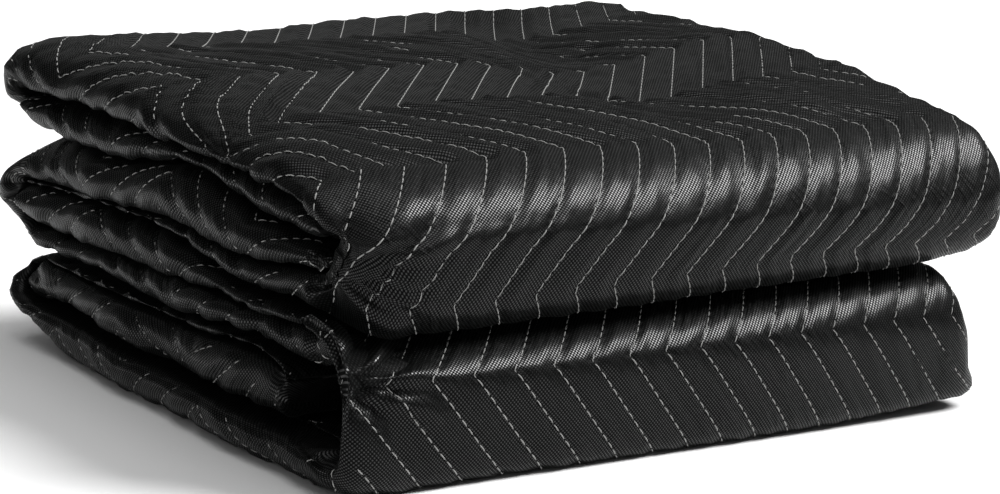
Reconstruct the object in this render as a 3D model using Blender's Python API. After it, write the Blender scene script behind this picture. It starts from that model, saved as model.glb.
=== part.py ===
"""A quilted moving blanket, folded in quarters and then to and fro into a block.

X runs along the two front rolls, Y from the front rolls to the back folds, Z up. The origin is
at the middle of the footprint, on the surface that the blanket lies on. Lengths are metres.
"""

import math

import bmesh
import bpy
import numpy as np

# Driving sizes
LENGTH = 0.467            # along the front rolls: a quarter of the opened blanket's width
DEPTH = 0.419             # from the front rolls to the back folds
LINE_SPACING = 0.0245     # between two rows of quilting
MM = 0.001
PASS_HEIGHT = 0.026       # a usual pass, used to turn a depth into a share of one

# Height of each boundary of the stack of six passes, in millimetres, at the left side
# (near the front, at the middle, at the back) and then at the right side.
STACK = (
    # boundary               left: near middle back   right: near middle back
    ("floor",                (0, 0, 0),               (0, 0, 0)),
    ("bottom pass",          (24, 27, 35),            (32, 36, 40)),
    ("lower tucked end",     (54, 57, 62),            (59, 67, 75)),
    ("top of lower bundle",  (85, 101, 100),          (88, 103, 111)),
    ("pass above the gap",   (117, 127, 132),         (115, 136, 146)),
    ("upper tucked end",     (132, 148, 154),         (138, 170, 181)),
    ("top",                  (154, 176, 193),         (167, 203, 221)),
)

# The underside curls up off the floor near its left edge and at its right front corner
LEFT_CURL = (0.050, 0.005)      # width it reaches in, height
RIGHT_CURL = (0.190, 0.009)
RIGHT_CURL_DEPTH = 0.25

# Behind its front left corner the gap between the two rolls sags: depth, width over which
# it comes on from the left, distance from the front over which it fades
GAP_SAG = 0.019
GAP_SAG_RAMP = 0.050
GAP_SAG_FADE = 0.120
GAP_LEVEL = 3

# The folded strip's route through the stack. Levels count passes up from the floor.
LAYER_GAP = 0.06          # air between passes, as a share of a pass
SLOT_GAP = 0.10           # air between the two leaves of a pass, as a share of a pass
UPPER_TUCK = 0.033        # Y of each tucked end, from the front
LOWER_TUCK = 0.058
TUCK_TAPER = 0.016        # length over which a tucked end closes to a rounded edge

# Folds between passes. Roundness 2 is an ellipse, and more is squarer. Lean pushes the upper
# half of a fold out past its lower half. Pinch draws the left rim in halfway round the fold.
FOLDS = {
    # fold          tip at Y  reach   roundness above, below   lean    pinch
    "upper roll":   (0.000,   0.037,  2.3,             2.9,    0.000,  0.006),
    "lower roll":   (-0.002,  0.037,  2.3,             7.0,    0.000,  0.004),
    "upper back":   (0.406,   0.040,  2.7,             1.9,    0.013,  0.000),
    "middle back":  (0.417,   0.050,  1.9,             2.0,    0.000,  0.000),
    "lower back":   (0.398,   0.044,  2.1,             1.8,    0.000,  0.000),
}

# The strip is itself folded, so a pass can show two leaves on the left side, parted by a slot.
# Three numbers are values near the front, in the middle and behind. A slot's place is a share
# of the pass, from -0.5 on side two to 0.5 on side one. A leaf's numbers are how far its edge
# stands in from the left side, in millimetres, how far its round reaches in X, and how far
# down its thickness its nose is. The last column is how far the right side stands in.
PASSES = (
    # pass           level  slot at               deep   side one leaf           side two leaf
    ("upper tuck",   4.5,   (0.34, 0.34, 0.34),   0.010, (13, 11, 9, 10, 0.5),   (9, 7, 5, 16, 0.6),
     5),
    ("top pass",     5.5,   (-0.36, -0.36, -0.3), 0.010, (4, 2, 0, 34, 0.72),    (12, 10, 8, 8, 0.5),
     2),
    ("middle pass",  3.5,   (-0.13, 0.18, 0.05),  0.040, (3, 9, 6, 14, 0.5),     (5, 2, 3, 16, 0.6),
     10),
    ("lower cover",  2.5,   (0.36, -0.05, -0.1),  0.030, (3, 5, 1, 10, 0.5),     (5, 7, 6, 10, 0.5),
     26),
    ("bottom pass",  0.5,   (-0.34, -0.34, -0.3), 0.010, (1, 0, 4, 5, 0.5),      (6, 6, 7, 8, 0.5),
     10),
    ("lower tuck",   1.5,   (0.33, 0.34, 0.36),   0.012, (9, 10, 9, 8, 0.5),     (6, 3, 4, 12, 0.5),
     17),
)
SLOT_LIP = 0.008          # how far a leaf's inner corner is rounded in X
SLOT_POINT = 0.004        # how far the slot's end runs to a point
RIGHT_ROUND = 0.015
EDGE_WAVE = 0.0016        # leaf edges wander in and out by this much

# Quilting: valleys along zigzag rows, with a puff between each two
PUFF_DEPTH = 0.0015
ZIGZAG_WIDTH = 2.94 * LINE_SPACING
ZIGZAG_FADE = 0.070       # near the side edges the rows straighten over this width
PUFFS = 18                # puffs side by side along the rolls
COLUMNS_PER_PUFF = 3
VALLEY_COLUMN = 1         # which of a puff's columns lies on the row of quilting
COARSE_STEP = 6           # hidden faces keep one column in this many
HIDDEN_ROW_PITCH = 3.8 * LINE_SPACING

# Soft hollows across the top, from start to end in X and Y from the middle. A ridge has a
# depth below zero.
TOP_TROUGHS = (
    # start             end                 width  depth
    ((0.048, -0.160),   (0.078, 0.090),     0.050, 0.0095),
    ((0.060, 0.000),    (0.150, 0.200),     0.050, 0.0115),
    ((-0.233, -0.170),  (-0.130, -0.150),   0.030, 0.0070),
    ((-0.240, -0.090),  (-0.165, -0.065),   0.028, 0.0070),
    ((0.170, -0.100),   (0.190, 0.060),     0.030, -0.0045),
    ((-0.200, -0.010),  (-0.130, 0.030),    0.030, -0.0025),
)
TROUGH_END = 0.08         # share of its length over which a trough ends

CLOTH_COLOUR = (0.012, 0.013, 0.013, 1.0)
CLOTH_ROUGHNESS = 0.62

TOP_ROWS = (0.323, 0.220, 0.137)   # Y at which the quilting turns on the top, back to front
TOP_STEP = 0.021          # stations along the top pass stand no further apart
PASS_STEPS = 5            # stations along a hidden pass
ROLL_STEPS = 8
TURN_STEPS = 7
UPPER_ROLL_LEVEL = 4.5
LOWER_ROLL_LEVEL = 1.5
UPPER_ROLL_ROWS = (0, 5)  # stations of a front roll at which the quilting turns
LOWER_ROLL_ROW = 3
TUCK_PROFILE = ((0.0, 0.5), (0.25, 0.78), (0.6, 0.94))
EDGE_POINTS = 4
RIGHT_POINTS = 3

LEFT = "left"
RIGHT = "right"


def smooth_step(share):
    """Runs smoothly from 0 at a share of 0 to 1 at a share of 1."""
    held = min(max(share, 0.0), 1.0)
    return held * held * (3 - 2 * held)


def between(near, middle, back, share):
    """A smooth curve through three values at shares 0, 0.5 and 1."""
    return (near * (1 - share) * (1 - 2 * share) + middle * 4 * share * (1 - share)
            + back * share * (2 * share - 1))


def boundary_heights(x, y):
    """Heights of the stack's boundaries at one place, in metres."""
    across = x / LENGTH
    along = min(max(y / DEPTH, 0.0), 1.0)
    heights = []
    for _, left, right in STACK:
        height = between(*left, along) * (1 - across) + between(*right, along) * across
        heights.append(height * MM)
    return heights


def underside_curl(x, y):
    """How far the underside is off the floor at a place."""
    left = max(0.0, 1 - x / LEFT_CURL[0]) ** 2 * LEFT_CURL[1]
    right = max(0.0, 1 - (LENGTH - x) / RIGHT_CURL[0]) ** 2 * RIGHT_CURL[1]
    return left + right * min(1.0, max(0.0, 1 - y / RIGHT_CURL_DEPTH))


def gap_sag(x, y):
    """How far the gap between the two rolls lies below its height at the side edges."""
    ramp = smooth_step(x / GAP_SAG_RAMP)
    towards_right = 1 - min(max(x / LENGTH, 0.0), 1.0) ** 1.5
    return GAP_SAG * ramp * towards_right * smooth_step(1 - y / GAP_SAG_FADE)


def height_at(level, x, y):
    """Height above the floor of a level in the stack, level 0 being the underside."""
    heights = boundary_heights(x, y)
    heights[0] = underside_curl(x, y)
    heights[GAP_LEVEL] -= gap_sag(x, y)
    above_floor = max(level - LAYER_GAP / 2, 0)
    return float(np.interp(above_floor, range(len(heights)), heights))


def rounded(angle, above, below):
    """Cosine and sine of an angle, pushed outwards to a squarer round."""
    power = 2 / (above if angle > 0 else below)
    cosine = abs(math.cos(angle)) ** power
    sine = math.copysign(abs(math.sin(angle)) ** power, math.sin(angle))
    return cosine, sine


class Station:
    """One place along the strip: where its thickness runs from and to."""

    def __init__(self, row, y, level, side_one_up, squeeze=1.0, shows=()):
        self.row = row
        self.y = y
        self.level = level
        self.up = side_one_up
        self.squeeze = squeeze
        self.shows = shows
        self.turn = None

    def place(self, thickness):
        """Y and level at a share of the thickness, from -0.5 on side two to 0.5 on side one."""
        offset = thickness * (1 - LAYER_GAP) * self.squeeze
        if self.turn is None:
            return self.y, self.level + offset * self.up
        centre_y, radius, reach, outward, angle, above, below, lean = self.turn
        cosine, sine = rounded(angle, above, below)
        ring = radius + offset * outward
        y = centre_y + reach * ring * cosine + lean * ring * sine * cosine
        return y, self.level + ring * sine


def straight(name, start, end, steps, side_one_up, shows=()):
    """Stations along one pass, without its last one, which the next piece of route makes."""
    row = next(item for item in PASSES if item[0] == name)
    ys = np.linspace(start, end, steps + 1)[:-1]
    return [Station(row, float(y), row[1], side_one_up, shows=shows) for y in ys]


def top_pass(back, front):
    """Stations along the top, with one on each row at which the quilting turns."""
    stops = (back,) + TOP_ROWS + (front,)
    stations = []
    for start, end in zip(stops, stops[1:]):
        steps = math.ceil((start - end) / TOP_STEP)
        stations += straight("top pass", start, end, steps, 1, ("side one",))
    return stations


def fold(name, first, second, outward, steps, shows):
    """Stations round a fold between two passes."""
    row_from = next(item for item in PASSES if item[0] == first)
    row_to = next(item for item in PASSES if item[0] == second)
    tip, depth, above, below, lean, pinch = FOLDS[name]
    level = (row_from[1] + row_to[1]) / 2
    radius = abs(row_from[1] - row_to[1]) / 2
    at_back = tip > DEPTH / 2
    reach = (depth if at_back else -depth) / (radius + 0.5)
    centre_y = fold_start(name)
    stations = []
    for step in range(steps):
        share = step / steps
        angle = math.pi / 2 - math.pi * share
        if row_to[1] > row_from[1]:
            angle = -angle
        station = Station(row_from, centre_y, level, 1, shows=shows)
        station.turn = (centre_y, radius, reach, outward, angle, above, below, lean)
        station.blend = (row_from, row_to, share, pinch)
        stations.append(station)
    return stations


def fold_start(name):
    """Y at which the passes run into a fold."""
    tip, depth = FOLDS[name][:2]
    return tip - depth if tip > DEPTH / 2 else tip + depth


def tapered_end(name, y, side_one_up, opens):
    """Stations that close a tucked end to a rounded edge. The list runs towards the pass."""
    row = next(item for item in PASSES if item[0] == name)
    stations = []
    for share, squeeze in TUCK_PROFILE:
        stations.append(Station(row, y + share * TUCK_TAPER, row[1], side_one_up, squeeze))
    return stations if opens else stations[::-1]


def strip_route():
    """Every station from the upper tucked end to the lower one."""
    one, two = "side one", "side two"
    front = fold_start("upper roll")
    lower_front = fold_start("lower roll")
    upper, middle, lower = [fold_start(f"{name} back") for name in ("upper", "middle", "lower")]
    route = tapered_end("upper tuck", UPPER_TUCK, -1, True)
    route += straight("upper tuck", UPPER_TUCK + TUCK_TAPER, upper, PASS_STEPS, -1)
    route += fold("upper back", "upper tuck", "top pass", 1, TURN_STEPS, (one,))
    route += top_pass(upper, front)
    route += fold("upper roll", "top pass", "middle pass", 1, ROLL_STEPS, (one,))
    route += straight("middle pass", front, middle, PASS_STEPS, -1)
    route += fold("middle back", "middle pass", "lower cover", -1, TURN_STEPS, (two,))
    route += straight("lower cover", middle, lower_front, PASS_STEPS, 1)
    route += fold("lower roll", "lower cover", "bottom pass", 1, ROLL_STEPS, (one,))
    route += straight("bottom pass", lower_front, lower, PASS_STEPS, -1)
    route += fold("lower back", "bottom pass", "lower tuck", 1, TURN_STEPS, (one,))
    route += straight("lower tuck", lower, LOWER_TUCK + TUCK_TAPER, PASS_STEPS, 1)
    last = Station(route[-1].row, LOWER_TUCK + TUCK_TAPER, route[-1].level, 1)
    return route + [last] + tapered_end("lower tuck", LOWER_TUCK, 1, False)


def walked_lengths(route):
    """Distance of each station from the first, along the middle of side one."""
    points = []
    for station in route:
        y, level = station.place(0.5)
        points.append((y, height_at(level, LENGTH / 2, y)))
    steps = [math.dist(a, b) for a, b in zip(points, points[1:])]
    return [0.0] + list(np.cumsum(steps))


def zigzag_rows(route, lengths):
    """Where along the strip the quilting turns, and by how much it is shifted there.

    Rows that show are given by the pass or roll they lie on. Hidden rows are spread evenly.
    """
    def on_top(y):
        """Length along the strip of a place on the top pass."""
        return min((abs(s.y - y), length) for s, length in zip(route, lengths)
                   if s.turn is None and s.row[0] == "top pass")[1]

    def on_roll(level, number):
        """Length along the strip of a station of a front roll."""
        return [length for s, length in zip(route, lengths)
                if s.turn is not None and s.level == level][number]

    shown = [(on_top(y), side) for y, side in zip(TOP_ROWS, (LEFT, RIGHT, LEFT))]
    shown += [(on_roll(UPPER_ROLL_LEVEL, n), side) for n, side in zip(UPPER_ROLL_ROWS, (RIGHT, LEFT))]
    shown += [(on_roll(LOWER_ROLL_LEVEL, LOWER_ROLL_ROW), LEFT)]
    pitch = HIDDEN_ROW_PITCH
    rows = []
    place = shown[0][0] - pitch
    side = RIGHT
    while place > -pitch:
        rows.insert(0, (place, side))
        place -= pitch
        side = LEFT if side == RIGHT else RIGHT
    rows += shown[:5]
    hidden = 2 * round((shown[5][0] - shown[4][0]) / pitch / 2)
    for number in range(1, hidden):
        share = number / hidden
        side = RIGHT if number % 2 else LEFT
        rows.append((shown[4][0] + share * (shown[5][0] - shown[4][0]), side))
    rows.append(shown[5])
    place = shown[5][0] + pitch
    side = RIGHT
    while place < lengths[-1] + pitch:
        rows.append((place, side))
        place += pitch
        side = LEFT if side == RIGHT else RIGHT
    places = [row[0] for row in rows]
    shifts = [(0.5 if row[1] == RIGHT else -0.5) * ZIGZAG_WIDTH for row in rows]
    return places, shifts


def leaf_edges(station, y):
    """Each leaf's distance in from the left side and its round, then the slot and right side."""
    def read(row):
        _, level, slot_at, slot_deep, one, two, right_in = row
        share = min(max(y / DEPTH, 0), 1)
        wander = EDGE_WAVE * math.sin(y / 0.021 + 2.3 * level)
        one_in = between(*one[:3], share) * MM + wander
        two_in = between(*two[:3], share) * MM - wander
        return np.array([one_in, one[3] * MM, one[4], two_in, two[3] * MM, two[4],
                         between(*slot_at, share), slot_deep, right_in * MM])

    if station.turn is None:
        return read(station.row)
    row_from, row_to, share, pinch = station.blend
    smooth = smooth_step(share)
    edges = read(row_from) * (1 - smooth) + read(row_to) * smooth
    edges[0] += pinch * math.sin(math.pi * share) ** 2
    return edges


def trough_depth(x, y):
    """How far the top is pressed in at a place."""
    here = np.array([x - LENGTH / 2, y - DEPTH / 2])
    depth = 0.0
    for start, end, width, deep in TOP_TROUGHS:
        start, end = np.array(start), np.array(end)
        share = np.clip(np.dot(here - start, end - start) / np.dot(end - start, end - start), 0, 1)
        gap = np.linalg.norm(here - start - share * (end - start))
        fade = math.sin(math.pi * min(max(share, TROUGH_END), 1 - TROUGH_END))
        depth += deep * fade * math.exp(-(gap / width) ** 2)
    return depth


def ring_rows(station, shift):
    """The closed outline across the strip at one station, as four rows of points.

    Side one runs left to right, the right fold turns down, side two runs right to left, and the
    left rows go round the two leaves with the slot between them.
    """
    y_middle, _ = station.place(0)
    edges = leaf_edges(station, y_middle)
    one_in, one_round, one_nose, two_in, two_round, two_nose, slot_at, slot_deep, right_in = edges
    far = LENGTH - right_in - EDGE_WAVE * math.sin(y_middle / 0.043 + 1.7 * station.level)
    columns = PUFFS * COLUMNS_PER_PUFF

    def point(x, thickness, press=0.0):
        y, level = station.place(thickness - press / PASS_HEIGHT)
        return (x, y, height_at(level, x, y))

    def face(side):
        start = one_in + one_round if side > 0 else two_in + two_round
        end = far - RIGHT_ROUND
        quilted = ("side one" if side > 0 else "side two") in station.shows
        step = 1 if quilted else COARSE_STEP
        row = []
        for column in range(0, columns + 1, step):
            share = column / columns
            base = start + share * (end - start)
            fade = min(1.0, min(base - start, end - base) / ZIGZAG_FADE)
            x = base + shift * fade
            wave = math.sin(math.pi * (column - VALLEY_COLUMN) / COLUMNS_PER_PUFF)
            press = PUFF_DEPTH * (1 - abs(wave)) if quilted else 0.0
            if quilted and station.up > 0 and station.turn is None:
                press += trough_depth(x, station.y)
            edge_fade = 0 if column in (0, columns) else 1
            row.append(point(x, side * 0.5, side * press * edge_fade))
        return row

    def leaf(inset, reach, nose_at, outer, inner):
        """Points round one leaf's edge, from its outer face past its nose to the slot."""
        nose = outer + nose_at * (inner - outer)
        row = []
        for number in range(1, EDGE_POINTS + 1):
            angle = math.pi * number / (EDGE_POINTS + 1)
            outside = angle < math.pi / 2
            half = outer - nose if outside else nose - inner
            x = inset + (reach if outside else min(reach, SLOT_LIP)) * (1 - math.sin(angle))
            row.append(point(x, nose + half * math.cos(angle)))
        return row

    side_one = face(1)
    side_two = face(-1)
    right_row = []
    for number in range(1, RIGHT_POINTS + 1):
        angle = math.pi * number / (RIGHT_POINTS + 1)
        x = far - RIGHT_ROUND * (1 - math.sin(angle))
        right_row.append(point(x, 0.5 * math.cos(angle)))
    upper, lower = slot_at + SLOT_GAP / 2, slot_at - SLOT_GAP / 2
    slot_end = max(one_in, two_in) + SLOT_LIP + slot_deep
    left_row = leaf(one_in, one_round, one_nose, 0.5, upper)
    left_row.append(point(one_in + min(one_round, SLOT_LIP), upper))
    left_row.append(point(slot_end, upper))
    left_row.append(point(slot_end + SLOT_POINT, slot_at))
    left_row.append(point(slot_end, lower))
    left_row.append(point(two_in + min(two_round, SLOT_LIP), lower))
    left_row += leaf(two_in, two_round, two_nose, -0.5, lower)[::-1]
    return side_one, right_row, side_two, left_row


def bridge(mesh, row_a, row_b):
    """Faces between two rows of vertices whose counts are equal or a multiple of each other."""
    fewer = min(len(row_a), len(row_b)) - 1
    step_a = (len(row_a) - 1) // fewer
    step_b = (len(row_b) - 1) // fewer
    for cell in range(fewer):
        side_a = row_a[cell * step_a:(cell + 1) * step_a + 1]
        side_b = row_b[cell * step_b:(cell + 1) * step_b + 1]
        if len(side_a) == len(side_b):
            mesh.faces.new((side_a[0], side_a[1], side_b[1], side_b[0]))
            continue
        many, few = (side_a, side_b) if len(side_a) > len(side_b) else (side_b, side_a)
        half = len(many) // 2
        for number in range(len(many) - 1):
            apex = few[0] if number < half else few[1]
            corners = [many[number], many[number + 1], apex]
            if many is side_b:
                corners.reverse()
            mesh.faces.new(corners)
        corners = [many[half], few[1], few[0]]
        if many is side_b:
            corners.reverse()
        mesh.faces.new(corners)


def build_blanket(collection):
    """The folded strip as one closed solid."""
    route = strip_route()
    lengths = walked_lengths(route)
    places, shifts = zigzag_rows(route, lengths)
    mesh = bmesh.new()
    stations = []
    for station, length in zip(route, lengths):
        rows = ring_rows(station, float(np.interp(length, places, shifts)))
        one, right_row, two, left_row = [[mesh.verts.new(p) for p in row] for row in rows]
        right_side = [one[-1]] + right_row + [two[-1]]
        left_side = [one[0]] + left_row + [two[0]]
        stations.append((one, right_side, two[::-1], left_side[::-1]))
    for here, following in zip(stations, stations[1:]):
        for row_a, row_b in zip(here, following):
            bridge(mesh, row_a, row_b)
    for index in (0, -1):
        loop = []
        for row in stations[index]:
            loop += row[:-1]
        cap = mesh.faces.new(loop)
        bmesh.ops.triangulate(mesh, faces=[cap])
    bmesh.ops.recalc_face_normals(mesh, faces=mesh.faces)
    bmesh.ops.triangulate(mesh, faces=mesh.faces)
    if mesh.calc_volume(signed=True) < 0:
        bmesh.ops.reverse_faces(mesh, faces=mesh.faces)
    fit_to_size(mesh)
    data = bpy.data.meshes.new("blanket")
    mesh.to_mesh(data)
    mesh.free()
    data.shade_smooth()
    blanket = bpy.data.objects.new("blanket", data)
    blanket.data.materials.append(cloth_material())
    collection.objects.link(blanket)
    return blanket


def fit_to_size(mesh):
    """Centre the blanket on the origin and hold it to its length and depth."""
    for axis, size in ((0, LENGTH), (1, DEPTH)):
        values = [vertex.co[axis] for vertex in mesh.verts]
        low, high = min(values), max(values)
        for vertex in mesh.verts:
            vertex.co[axis] = ((vertex.co[axis] - low) / (high - low) - 0.5) * size


def cloth_material():
    """Black woven polyester."""
    material = bpy.data.materials.new("black quilted polyester")
    material.use_nodes = True
    shader = material.node_tree.nodes["Principled BSDF"]
    shader.inputs["Base Color"].default_value = CLOTH_COLOUR
    shader.inputs["Roughness"].default_value = CLOTH_ROUGHNESS
    shader.inputs["Metallic"].default_value = 0.0
    return material


def main():
    for item in list(bpy.data.objects):
        bpy.data.objects.remove(item, do_unlink=True)
    collection = bpy.data.collections.new("moving_blanket")
    bpy.context.scene.collection.children.link(collection)
    build_blanket(collection)


main()
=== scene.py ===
# %% [markdown]
# # A folded moving blanket
#
# The real thing is a thick quilted pad of black woven polyester. It was folded in quarters
# across its width, and that strip was folded to and fro into a block. This lesson dresses the
# rigid model of that block: one soft cloth skin on the same folds, its rows of stitching,
# and a studio around it.

# %% Load the frame
import math

import bpy
import numpy as np
from mathutils import Euler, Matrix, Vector, noise


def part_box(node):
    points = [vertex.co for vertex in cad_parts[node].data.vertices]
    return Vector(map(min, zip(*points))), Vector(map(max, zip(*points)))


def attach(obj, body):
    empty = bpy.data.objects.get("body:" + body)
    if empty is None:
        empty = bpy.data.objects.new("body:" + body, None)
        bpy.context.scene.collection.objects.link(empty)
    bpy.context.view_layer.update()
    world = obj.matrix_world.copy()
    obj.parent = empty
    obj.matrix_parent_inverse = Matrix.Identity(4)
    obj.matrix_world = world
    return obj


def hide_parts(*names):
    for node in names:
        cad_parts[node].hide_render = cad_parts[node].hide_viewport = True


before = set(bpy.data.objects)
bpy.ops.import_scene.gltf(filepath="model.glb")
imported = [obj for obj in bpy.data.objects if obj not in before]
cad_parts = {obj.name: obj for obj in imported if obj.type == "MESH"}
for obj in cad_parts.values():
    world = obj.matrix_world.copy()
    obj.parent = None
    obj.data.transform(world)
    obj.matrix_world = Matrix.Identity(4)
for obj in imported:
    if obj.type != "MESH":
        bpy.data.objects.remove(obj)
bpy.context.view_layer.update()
low, high = (Vector(corner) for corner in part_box("blanket"))
LENGTH = high.x - low.x
DEPTH = high.y - low.y
print("solid blanket", [round(side, 3) for side in high - low])

# %% [markdown]
# ## The folded strip
#
# Every shape below comes from one idea: a thick strip that travels through a stack of six
# passes. The height of each boundary of the stack is a short table, so the block can slope
# up to the right and to the back as the real one does. The solid is made from nearly the same
# table, a few millimetres apart, and that keeps the cloth on its folds.

# %% Heights of the stack
MM = 0.001
LINE_SPACING = 0.0245

STACK = (
    # boundary               left: near middle back   right: near middle back
    ("floor",                (0, 0, 0),               (0, 0, 0)),
    ("bottom pass",          (24, 27, 35),            (32, 36, 40)),
    ("lower tucked end",     (54, 57, 62),            (59, 67, 75)),
    ("top of lower bundle",  (85, 101, 100),          (88, 103, 111)),
    ("pass above the gap",   (117, 127, 132),         (115, 136, 146)),
    ("upper tucked end",     (132, 148, 154),         (138, 170, 181)),
    ("top",                  (154, 176, 196),         (167, 203, 223)),
)
LEFT_CURL = (0.050, 0.005)
RIGHT_CURL = (0.190, 0.009)
RIGHT_CURL_DEPTH = 0.25
GAP_SAG = 0.019
GAP_SAG_RAMP = 0.050
GAP_SAG_FADE = 0.120
GAP_SAG_POWER = 1.5
GAP_LEVEL = 3
TOP_LEVEL = len(STACK) - 1
LAYER_GAP = 0.085
LEFT_SHIFTS = (
    # boundary   Y       half width   rise, all in metres
    (5,          0.000,  0.035,      -0.0045),
    (4,          0.170,  0.060,       0.0140),
    (3,          0.105,  0.055,      -0.0100),
    (2,          0.095,  0.055,       0.0075),
)
LEFT_SHIFT_FADE = 0.120


def smooth_step(share):
    """Runs smoothly from 0 at a share of 0 to 1 at a share of 1."""
    held = np.clip(share, 0.0, 1.0)
    return held * held * (3 - 2 * held)


def between(near, middle, back, share):
    """A smooth curve through three values at shares 0, 0.5 and 1."""
    return (near * (1 - share) * (1 - 2 * share) + middle * 4 * share * (1 - share)
            + back * share * (2 * share - 1))


def height_at(level, x, y):
    """Height above the floor of levels in the stack, at places from the near left corner."""
    across = x / LENGTH
    along = np.clip(y / DEPTH, 0.0, 1.0)
    heights = np.array([
        (between(*left, along) * (1 - across) + between(*right, along) * across) * MM
        for _, left, right in STACK
    ])
    left_curl = np.maximum(0.0, 1 - x / LEFT_CURL[0]) ** 2 * LEFT_CURL[1]
    right_curl = np.maximum(0.0, 1 - (LENGTH - x) / RIGHT_CURL[0]) ** 2 * RIGHT_CURL[1]
    heights[0] = left_curl + right_curl * np.clip(1 - y / RIGHT_CURL_DEPTH, 0.0, 1.0)
    towards_right = 1 - np.clip(across, 0.0, 1.0) ** GAP_SAG_POWER
    sag = GAP_SAG * smooth_step(x / GAP_SAG_RAMP) * towards_right
    heights[GAP_LEVEL] -= sag * smooth_step(1 - y / GAP_SAG_FADE)
    towards_left = smooth_step(1 - x / LEFT_SHIFT_FADE)
    for boundary, centre, half_width, rise in LEFT_SHIFTS:
        heights[boundary] += rise * towards_left * np.exp(-((y - centre) / half_width) ** 2)
    above = np.clip(level - LAYER_GAP / 2, 0.0, TOP_LEVEL - 0.001)
    step = above.astype(int)
    part = above - step
    places = np.arange(len(step))
    return heights[step, places] * (1 - part) + heights[step + 1, places] * part


near_left_top = height_at(np.array([TOP_LEVEL]), np.zeros(1), np.zeros(1))[0]
print("top at the near left", round(float(near_left_top), 3))

# %% [markdown]
# ## Folds and leaf edges
#
# Five folds join the six passes. Each is half of a squared ellipse, so a short row of
# numbers gives its reach and how boxy it is. Seen from the left, a pass can part into two
# leaves, because the strip is itself folded. The tables say how far each leaf stands in from
# the side, how far its round reaches and where its nose is.

# %% Tables of folds and passes
UPPER_TUCK = 0.033
LOWER_TUCK = 0.058
TUCK_TAPER = 0.016
TUCK_PROFILE = ((0.0, 0.5), (0.12, 0.68), (0.3, 0.84), (0.6, 0.95))

FOLDS = {
    # fold          tip at Y  reach   roundness above, below   lean    pinch
    "upper roll":   (0.000,   0.037,  1.95,            2.9,    0.000,  0.006),
    "lower roll":   (-0.002,  0.037,  2.3,             7.0,    0.000,  0.004),
    "upper back":   (0.406,   0.040,  2.7,             1.9,    0.013,  0.000),
    "middle back":  (0.417,   0.050,  1.9,             2.0,    0.000,  0.000),
    "lower back":   (0.398,   0.044,  2.1,             1.8,    0.000,  0.000),
}
PASSES = (
    # pass          level, slot at, deep, side one leaf, side two leaf, right side in
    ("upper tuck",  4.5, (0.47, 0.47, 0.47), 0.002, (24, 24, 24, 12, 0.5), (9, 7, 5, 22, 0.6), 5),
    ("top pass",    5.5, (-0.47, -0.47, -0.4), 0.002, (4, 2, 0, 36, 0.74), (24, 24, 24, 8, 0.5), 2),
    ("middle pass", 3.5, (-0.30, 0.36, 0.46), 0.040, (3, 9, 6, 20, 0.5), (5, 2, 3, 22, 0.6), 10),
    ("lower cover", 2.5, (0.36, -0.05, -0.1), 0.030, (3, 5, 1, 14, 0.5), (5, 7, 6, 18, 0.5), 26),
    ("bottom pass", 0.5, (-0.45, -0.45, -0.4), 0.002, (1, 0, 4, 12, 0.6), (24, 24, 24, 8, 0.5), 10),
    ("lower tuck",  1.5, (0.36, 0.36, 0.38), 0.012, (9, 10, 9, 10, 0.5), (6, 3, 4, 20, 0.5), 17),
)

# share of a fold's turn after which it takes on the next pass's leaves
LATE_BLEND = {"upper roll": 0.62, "lower roll": 0.25}

# places of each leaf's inset and of the slot in a row of edges
ONE_IN, TWO_IN, SLOT_AT = 0, 3, 6
INNER_LEAF = {
    # fold          which leaf, how much further in it stands
    "upper roll":   (TWO_IN, 0.014),
    "lower roll":   (TWO_IN, 0.016),
    "middle back":  (ONE_IN, 0.016),
    "upper back":   (ONE_IN, -0.012),
}
OUTER_SLOT = {"middle back": 0.40, "upper back": -0.40}
SLOT_GAP = 0.09
SLOT_LIP = 0.007
SLOT_POINT = 0.004
RIGHT_ROUND = 0.015
EDGE_WANDER = 0.0030
RIGHT_WANDER = 0.0012
WANDER_LENGTH = 0.055
SEED_STEP = 7.3
SEED_ROW = 0.4
NOISE_GAIN = 1.6


def row_named(name):
    """The row of the table of passes with this name."""
    return next(row for row in PASSES if row[0] == name)


def wander(place, seed):
    """A slow, uneven wobble from -1 to 1 along an edge."""
    return noise.noise((place / WANDER_LENGTH, seed * SEED_STEP, SEED_ROW)) * NOISE_GAIN


# %% [markdown]
# ## Stations
#
# A station is one place along the strip, with the line that its thickness runs along. A pass
# is a run of straight stations, and a fold turns them. Places that show get close stations.

# %% Stations along the strip
SIDE_ONE, SIDE_TWO = "side one", "side two"
TOP_ROWS = (0.323, 0.220, 0.137)
TOP_STEP = 0.0042
PASS_STEP = 0.0055
ROLL_STEPS = 34
TURN_STEPS = 20


class Station:
    """One place along the strip: where its thickness runs from and to."""

    def __init__(self, row, y, side_one_up, squeeze=1.0, shows=()):
        self.y = y
        self.level = row[1]
        self.up = side_one_up
        self.squeeze = squeeze
        self.shows = shows
        self.turn = None
        self.blend = (row, row, 0.0, 0.0)
        self.zone = row[0]

    def place(self, thickness):
        """Y and level at shares of the thickness, -0.5 on side two to 0.5 on side one."""
        offset = np.asarray(thickness, float) * (1 - LAYER_GAP) * self.squeeze
        if self.turn is None:
            return np.full(offset.shape, self.y), self.level + offset * self.up
        centre_y, radius, reach, outward, angle, power, lean = self.turn
        cosine = abs(math.cos(angle)) ** power
        sine = math.copysign(abs(math.sin(angle)) ** power, math.sin(angle))
        ring = radius + offset * outward
        y = centre_y + reach * ring * cosine + lean * ring * sine * cosine
        return y, self.level + ring * sine


print("closest stations", TOP_STEP * 1000, "mm apart")

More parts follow.
